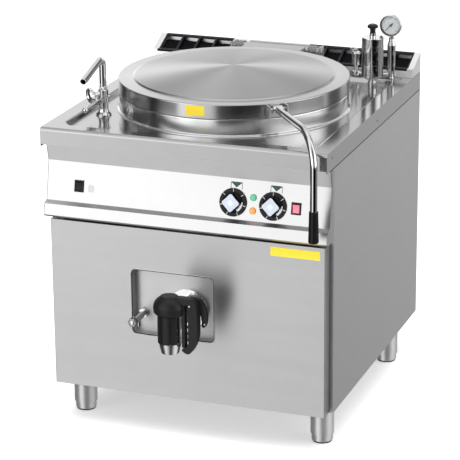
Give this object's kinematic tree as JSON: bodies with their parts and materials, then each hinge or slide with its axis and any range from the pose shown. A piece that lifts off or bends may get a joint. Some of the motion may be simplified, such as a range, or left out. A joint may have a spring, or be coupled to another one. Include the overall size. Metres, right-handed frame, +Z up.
{
  "type": "steam jacketed kettle",
  "caption": "Square free-standing boiling kettle: round pan in a heated double jacket under a hinged lid, with front drain valve, water tap, safety valve, gauge and sloping controls.",
  "frame": {"origin": "middle of the footprint, drain valve and rear wall spacer included, on the floor under the feet", "axes": "+Z up; the operator stands on the -Y side; +X to the operator's right; +Y towards the wall"},
  "size_m": [0.8, 1.034, 1.0375],
  "materials": {
    "satin_steel": "satin, fine horizontal grain",
    "worktop_steel": "satin, shinier than the panels",
    "lid_steel": "radially brushed",
    "pan_steel": "smooth, food-grade",
    "console_steel": "satin, pale switch panel",
    "frame_steel": "plain sheet",
    "lagging": "mineral wool mat",
    "heater_steel": "oxidised sheath",
    "inlet_brass": "turned",
    "seal_rubber": "soft seal",
    "spring_steel": "bright wire",
    "handle_chrome": "polished",
    "grip_black": "smooth black",
    "fittings_chrome": "polished",
    "valve_knob_black": "black",
    "needle_black": "black",
    "dial_glass": "clear",
    "valve_black": "black, slightly glossy",
    "plug_steel": "turned",
    "lamp_plastic": "translucent lens, one green and one orange",
    "switch_black": "black",
    "rocker_red": "translucent red",
    "knob_grey": "pale grey cap on a black skirt",
    "grille_black": "black",
    "foot_steel": "satin tube on a dark pad"
  },
  "bodies": {
    "kettle": {"left_side_panel": "satin_steel", "right_side_panel": "satin_steel", "back_panel": "satin_steel", "front_panel": "satin_steel", "drain_recess_box": "satin_steel", "rear_upstand": "satin_steel", "console_end_caps": "satin_steel", "foot_sleeves": "satin_steel", "worktop": "worktop_steel", "vessel_collar": "worktop_steel", "inner_vessel": "pan_steel", "control_console": "console_steel", "base_pan": "frame_steel", "corner_posts": "frame_steel", "steam_jacket": "frame_steel", "drain_pipe": "frame_steel", "level_pipe": "frame_steel", "hinge_housing": "frame_steel", "jacket_insulation": "lagging", "heater_bundle": "heater_steel", "water_inlet": "inlet_brass", "hinge_springs": "spring_steel", "tap_base": "fittings_chrome", "safety_valve_body": "fittings_chrome", "valve_manifold": "fittings_chrome", "gauge_riser": "fittings_chrome", "vent_valve_body": "fittings_chrome", "drain_valve_body": "fittings_chrome", "level_tap_body": "fittings_chrome", "gauge_case": "fittings_chrome", "gauge_lens": "dial_glass", "drain_valve_guard": "valve_black", "indicator_lamps": "lamp_plastic", "switch_cases": "switch_black", "flue_grille_left": "grille_black", "flue_grille_right": "grille_black"},
    "lid": {"lid_skin": "lid_steel", "lid_inner_pan": "lid_steel", "lid_gasket": "seal_rubber", "lid_hinge_bar": "frame_steel", "lid_handle_bracket": "frame_steel", "lid_handle_rod": "handle_chrome", "lid_handle_grip": "grip_black"},
    "spout": {"tap_spout": "fittings_chrome"},
    "tap_wheel": {"tap_handwheel": "fittings_chrome"},
    "tap_arm": {"tap_lever": "fittings_chrome"},
    "relief_knob": {"safety_valve_knob": "valve_knob_black"},
    "needle": {"gauge_needle": "needle_black"},
    "vent_arm": {"vent_valve_lever": "fittings_chrome"},
    "drain_lever": {"drain_valve_handle": "valve_black", "drain_valve_plug": "plug_steel"},
    "level_knob": {"level_tap_knob": "fittings_chrome"},
    "mode_knob": {"left_knob": "knob_grey"},
    "heat_knob": {"right_knob": "knob_grey"},
    "black_switch": {"left_rocker": "switch_black"},
    "red_switch": {"right_rocker": "rocker_red"},
    "front_left_foot": {"foot_front_left": "foot_steel"},
    "front_right_foot": {"foot_front_right": "foot_steel"},
    "rear_left_foot": {"foot_rear_left": "foot_steel"},
    "rear_right_foot": {"foot_rear_right": "foot_steel"}
  },
  "joints": [
    {"name": "lid_hinge", "type": "hinge", "parent": "kettle", "child": "lid", "pos_m": [0, 0.3894, 0.9129], "axis": [-1, 0, 0], "range_deg": [0, 85]},
    {"name": "spout_swivel", "type": "hinge", "parent": "kettle", "child": "spout", "pos_m": [-0.304, -0.176, 0.95], "axis": [0, 0, 1], "range_deg": [-60, 120]},
    {"name": "tap_wheel_turn", "type": "hinge", "parent": "kettle", "child": "tap_wheel", "pos_m": [-0.304, -0.176, 0.901], "axis": [-0.7002, -0.7002, -0.1392], "range_deg": [0, 360]},
    {"name": "tap_arm_turn", "type": "hinge", "parent": "kettle", "child": "tap_arm", "pos_m": [-0.304, -0.176, 0.883], "axis": [0, 0, 1], "range_deg": [0, 50]},
    {"name": "relief_pull", "type": "slide", "parent": "kettle", "child": "relief_knob", "axis": [0, 0, 1], "range_m": [0, 0.006], "stiffness_N_per_m": 800, "springref_m": -0.005},
    {"name": "needle_sweep", "type": "hinge", "parent": "kettle", "child": "needle", "pos_m": [0.341, 0.398, 1.006], "axis": [0, 1, 0], "range_deg": [0, 270]},
    {"name": "vent_arm_turn", "type": "hinge", "parent": "kettle", "child": "vent_arm", "pos_m": [0.236, 0.398, 0.922], "axis": [0, 0, 1], "range_deg": [0, 90]},
    {"name": "drain_lever_turn", "type": "hinge", "parent": "kettle", "child": "drain_lever", "pos_m": [0, -0.478, 0.37], "axis": [0, 0, -1], "range_deg": [0, 90]},
    {"name": "level_knob_turn", "type": "hinge", "parent": "kettle", "child": "level_knob", "pos_m": [-0.131, -0.413, 0.342], "axis": [0, -1, 0], "range_deg": [0, 270]},
    {"name": "mode_knob_turn", "type": "hinge", "parent": "kettle", "child": "mode_knob", "pos_m": [0.1325, -0.34838, 0.6855], "axis": [0, 0.9809, -0.1943], "range_deg": [0, 270]},
    {"name": "heat_knob_turn", "type": "hinge", "parent": "kettle", "child": "heat_knob", "pos_m": [0.2425, -0.34838, 0.6855], "axis": [0, 0.9809, -0.1943], "range_deg": [0, 270]},
    {"name": "black_switch_tip", "type": "hinge", "parent": "kettle", "child": "black_switch", "pos_m": [-0.306, -0.34593, 0.68501], "axis": [1, 0, 0], "range_deg": [-14, 0]},
    {"name": "red_switch_tip", "type": "hinge", "parent": "kettle", "child": "red_switch", "pos_m": [0.306, -0.34593, 0.68501], "axis": [1, 0, 0], "range_deg": [-14, 0]},
    {"name": "front_left_foot_screw", "type": "slide", "parent": "kettle", "child": "front_left_foot", "axis": [0, 0, -1], "range_m": [0, 0.03]},
    {"name": "front_right_foot_screw", "type": "slide", "parent": "kettle", "child": "front_right_foot", "axis": [0, 0, -1], "range_m": [0, 0.03]},
    {"name": "rear_left_foot_screw", "type": "slide", "parent": "kettle", "child": "rear_left_foot", "axis": [0, 0, -1], "range_m": [0, 0.03]},
    {"name": "rear_right_foot_screw", "type": "slide", "parent": "kettle", "child": "rear_right_foot", "axis": [0, 0, -1], "range_m": [0, 0.03]}
  ]
}
